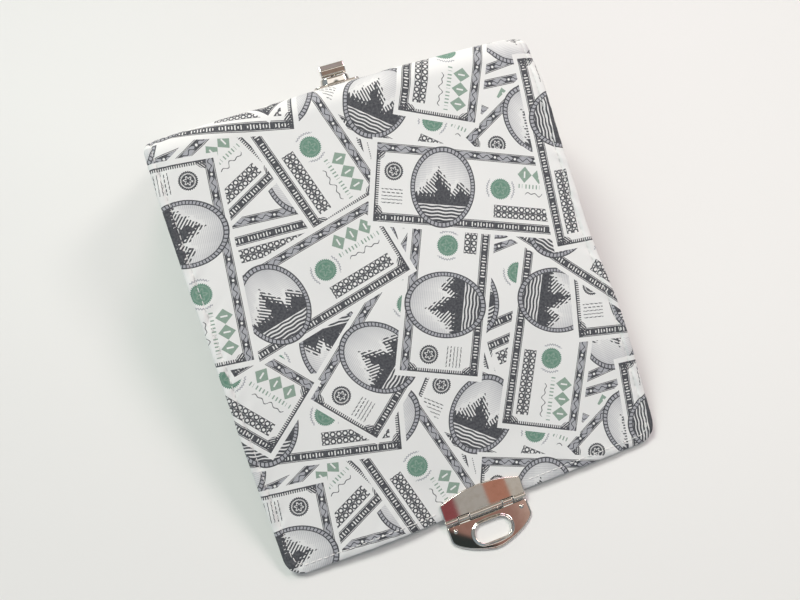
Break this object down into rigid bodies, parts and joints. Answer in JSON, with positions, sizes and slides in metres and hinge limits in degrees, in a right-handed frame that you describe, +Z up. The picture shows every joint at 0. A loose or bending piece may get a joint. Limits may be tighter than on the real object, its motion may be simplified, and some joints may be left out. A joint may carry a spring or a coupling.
{
  "type": "fabric flap wallet",
  "caption": "Long fabric flap wallet standing open like a tent, outside up, with a hinged hasp on the flap's end and a turn-knob catch on the front panel.",
  "frame": {"origin": "on the table, under the middle of the wallet's box as it stands open", "axes": "+X along the folds, +Y from the flap's end to the front panel, +Z up"},
  "size_m": [0.2018, 0.2906, 0.0865],
  "materials": {
    "printed_cotton": "matt white cotton printed in charcoal and sage green",
    "polished_nickel": "polished nickel plate"
  },
  "bodies": {
    "wallet": {"cover": "printed_cotton", "flap_clamp": "polished_nickel", "hinge_pin": "polished_nickel", "catch_base": "polished_nickel", "catch_washer": "polished_nickel"},
    "hasp": {"hasp": "polished_nickel"},
    "knob": {"turn_knob": "polished_nickel"}
  },
  "joints": [
    {"name": "hasp_hinge", "type": "hinge", "parent": "wallet", "child": "hasp", "pos_m": [0.00135, -0.12582, 0.00272], "axis": [-1, 0, 0], "range_deg": [0, 105]},
    {"name": "knob_turn", "type": "hinge", "parent": "wallet", "child": "knob", "pos_m": [0.00035, 0.09349, 0.07263], "axis": [0, 0.8039, 0.5948], "range_deg": [0, 90]}
  ]
}
